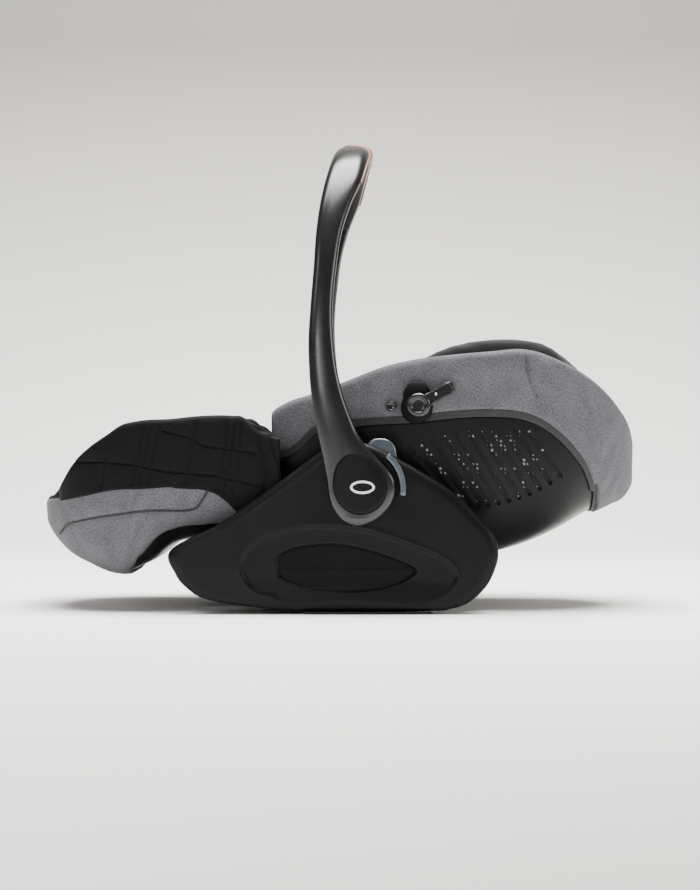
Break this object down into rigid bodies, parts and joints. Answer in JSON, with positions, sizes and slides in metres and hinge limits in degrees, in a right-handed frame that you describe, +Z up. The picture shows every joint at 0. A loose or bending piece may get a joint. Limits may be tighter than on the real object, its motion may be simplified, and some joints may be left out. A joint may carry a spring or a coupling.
{
  "type": "infant car seat",
  "caption": "Lie-flat infant car seat: rocker base with side shells, carrying handle on two hubs, padded bucket, quilted leg section and harness.",
  "frame": {"origin": "under the middle of the seat, on the surface it stands on", "axes": "+Z up, +X towards the head end, -X towards the foot end, -Y the child's left side"},
  "size_m": [0.77, 0.4462, 0.6115],
  "materials": {
    "shell": "fine grain moulded plastic",
    "satin": "satin moulded plastic",
    "insert": "matte moulded plastic",
    "accent": "translucent blue-grey plastic",
    "grey": "woven melange fabric, padded",
    "black": "black woven fabric, padded and quilted",
    "dark": "dark grey woven fabric, padded",
    "foam": "expanded foam",
    "leather": "padded leather",
    "webbing": "woven webbing",
    "rubber": "moulded rubber",
    "red": "moulded plastic",
    "steel": "steel"
  },
  "bodies": {
    "base": {"side_shell_left": "shell", "side_shell_right": "shell", "belt_pocket_left": "insert", "belt_pocket_right": "insert", "rocker_foot_left": "rubber", "rocker_foot_right": "rubber", "base_pan": "shell", "lock_bar_front": "steel", "lock_bar_rear": "steel", "hub_axle_left": "steel", "hub_axle_right": "steel", "ratchet_ring_left": "steel", "ratchet_ring_right": "steel", "recline_pin_left": "steel", "recline_pin_right": "steel", "adapter_guide_left": "shell", "adapter_guide_right": "shell"},
    "handle": {"handle_leg_left": "satin", "handle_leg_right": "satin", "hub_cover_left": "satin", "hub_cover_right": "satin", "lock_ring_left": "insert", "lock_ring_right": "insert", "handle_bow": "satin", "grip_sleeve": "leather"},
    "handle_button_left": {"handle_button_left": "accent"},
    "handle_button_right": {"handle_button_right": "accent"},
    "adapter_button_left": {"adapter_button_left": "accent"},
    "adapter_button_right": {"adapter_button_right": "accent"},
    "bucket": {"bucket_shell": "shell", "bucket_foam": "foam", "bucket_cover": "grey", "bucket_lining": "black", "canopy_mount_left": "insert", "canopy_mount_right": "insert", "press_stud_left": "insert", "press_stud_right": "insert", "child_insert": "dark", "shoulder_strap_left": "webbing", "shoulder_strap_right": "webbing", "shoulder_pad_left": "black", "shoulder_pad_right": "black", "buckle_tongue_left": "steel", "buckle_tongue_right": "steel", "lap_strap_left": "webbing", "lap_strap_right": "webbing", "buckle": "insert", "crotch_strap": "webbing", "lever_bracket": "shell"},
    "leg_section": {"leg_shell": "shell", "leg_cover": "grey", "quilted_cover": "black", "leg_cushion": "black"},
    "headrest": {"headrest_pad": "dark", "headrest_plate": "shell"},
    "canopy_arm_left": {"canopy_arm_left": "insert"},
    "canopy_arm_right": {"canopy_arm_right": "insert"},
    "buckle_button": {"buckle_button": "red"},
    "recline_lever": {"recline_lever": "accent"}
  },
  "joints": [
    {"name": "handle_swing", "type": "hinge", "parent": "base", "child": "handle", "pos_m": [0.027, 0, 0.158], "axis": [0, 1, 0], "range_deg": [-58, 70]},
    {"name": "handle_button_left_press", "type": "slide", "parent": "handle", "child": "handle_button_left", "axis": [-0.8988, 0, -0.4384], "range_m": [0, 0.0045], "stiffness_N_per_m": 900, "springref_m": -0.002},
    {"name": "handle_button_right_press", "type": "slide", "parent": "handle", "child": "handle_button_right", "axis": [-0.8988, 0, -0.4384], "range_m": [0, 0.0045], "stiffness_N_per_m": 900, "springref_m": -0.002},
    {"name": "adapter_button_left_press", "type": "slide", "parent": "base", "child": "adapter_button_left", "axis": [0, 0, -1], "range_m": [0, 0.005], "stiffness_N_per_m": 900, "springref_m": -0.002},
    {"name": "adapter_button_right_press", "type": "slide", "parent": "base", "child": "adapter_button_right", "axis": [0, 0, -1], "range_m": [0, 0.005], "stiffness_N_per_m": 900, "springref_m": -0.002},
    {"name": "recline", "type": "hinge", "parent": "base", "child": "bucket", "pos_m": [-0.068, 0, 0.13], "axis": [0, -1, 0], "range_deg": [0, 30]},
    {"name": "leg_fold", "type": "hinge", "parent": "bucket", "child": "leg_section", "pos_m": [-0.068, 0, 0.13], "axis": [0, 1, 0], "range_deg": [0, 37.5]},
    {"name": "headrest_slide", "type": "slide", "parent": "bucket", "child": "headrest", "axis": [-1, 0, 0], "range_m": [0, 0.08]},
    {"name": "canopy_left", "type": "hinge", "parent": "bucket", "child": "canopy_arm_left", "pos_m": [0.101, 0, 0.263], "axis": [0, -1, 0], "range_deg": [0, 100]},
    {"name": "canopy_right", "type": "hinge", "parent": "bucket", "child": "canopy_arm_right", "pos_m": [0.101, 0, 0.263], "axis": [0, -1, 0], "range_deg": [0, 100]},
    {"name": "buckle_press", "type": "slide", "parent": "bucket", "child": "buckle_button", "axis": [0, 0, -1], "range_m": [0, 0.0035], "stiffness_N_per_m": 900, "springref_m": -0.002},
    {"name": "recline_release", "type": "hinge", "parent": "bucket", "child": "recline_lever", "pos_m": [0.047, 0, 0.046], "axis": [0, -1, 0], "range_deg": [0, 9], "stiffness_Nm_per_rad": 1.5, "springref_deg": -8.59}
  ],
  "couplings": [
    {"joint": "leg_fold", "follows": "recline", "ratio": 1.25}
  ]
}
